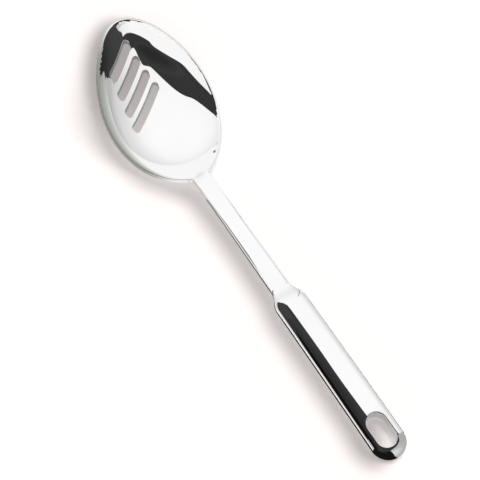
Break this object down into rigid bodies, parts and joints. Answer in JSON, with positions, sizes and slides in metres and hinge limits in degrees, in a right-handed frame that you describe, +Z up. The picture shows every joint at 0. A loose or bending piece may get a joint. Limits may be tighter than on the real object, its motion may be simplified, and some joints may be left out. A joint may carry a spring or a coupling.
{
  "type": "slotted serving spoon",
  "caption": "Long-handled stainless serving spoon with an egg-shaped bowl pierced by diagonal drain slots, a flat shank and a hollow handle with an oblong hanging eye.",
  "frame": {"origin": "centre of the spoon's footprint, on the table that it rests on with the bowl opening up", "axes": "+X along the spoon towards the hanging eye, -X towards the bowl's tip, +Z up, +Y to the left when looking from the bowl's tip to the handle's end as seen from above"},
  "size_m": [0.315, 0.074, 0.0573],
  "materials": {
    "polished_steel": "mirror polished stainless steel",
    "eye_steel": "polished stainless steel, finer satin inside the eye"
  },
  "bodies": {
    "root": {"bowl_and_shank": "polished_steel", "handle_top_shell": "polished_steel", "handle_bottom_shell": "polished_steel", "eye_sleeve": "eye_steel"}
  },
  "joints": []
}
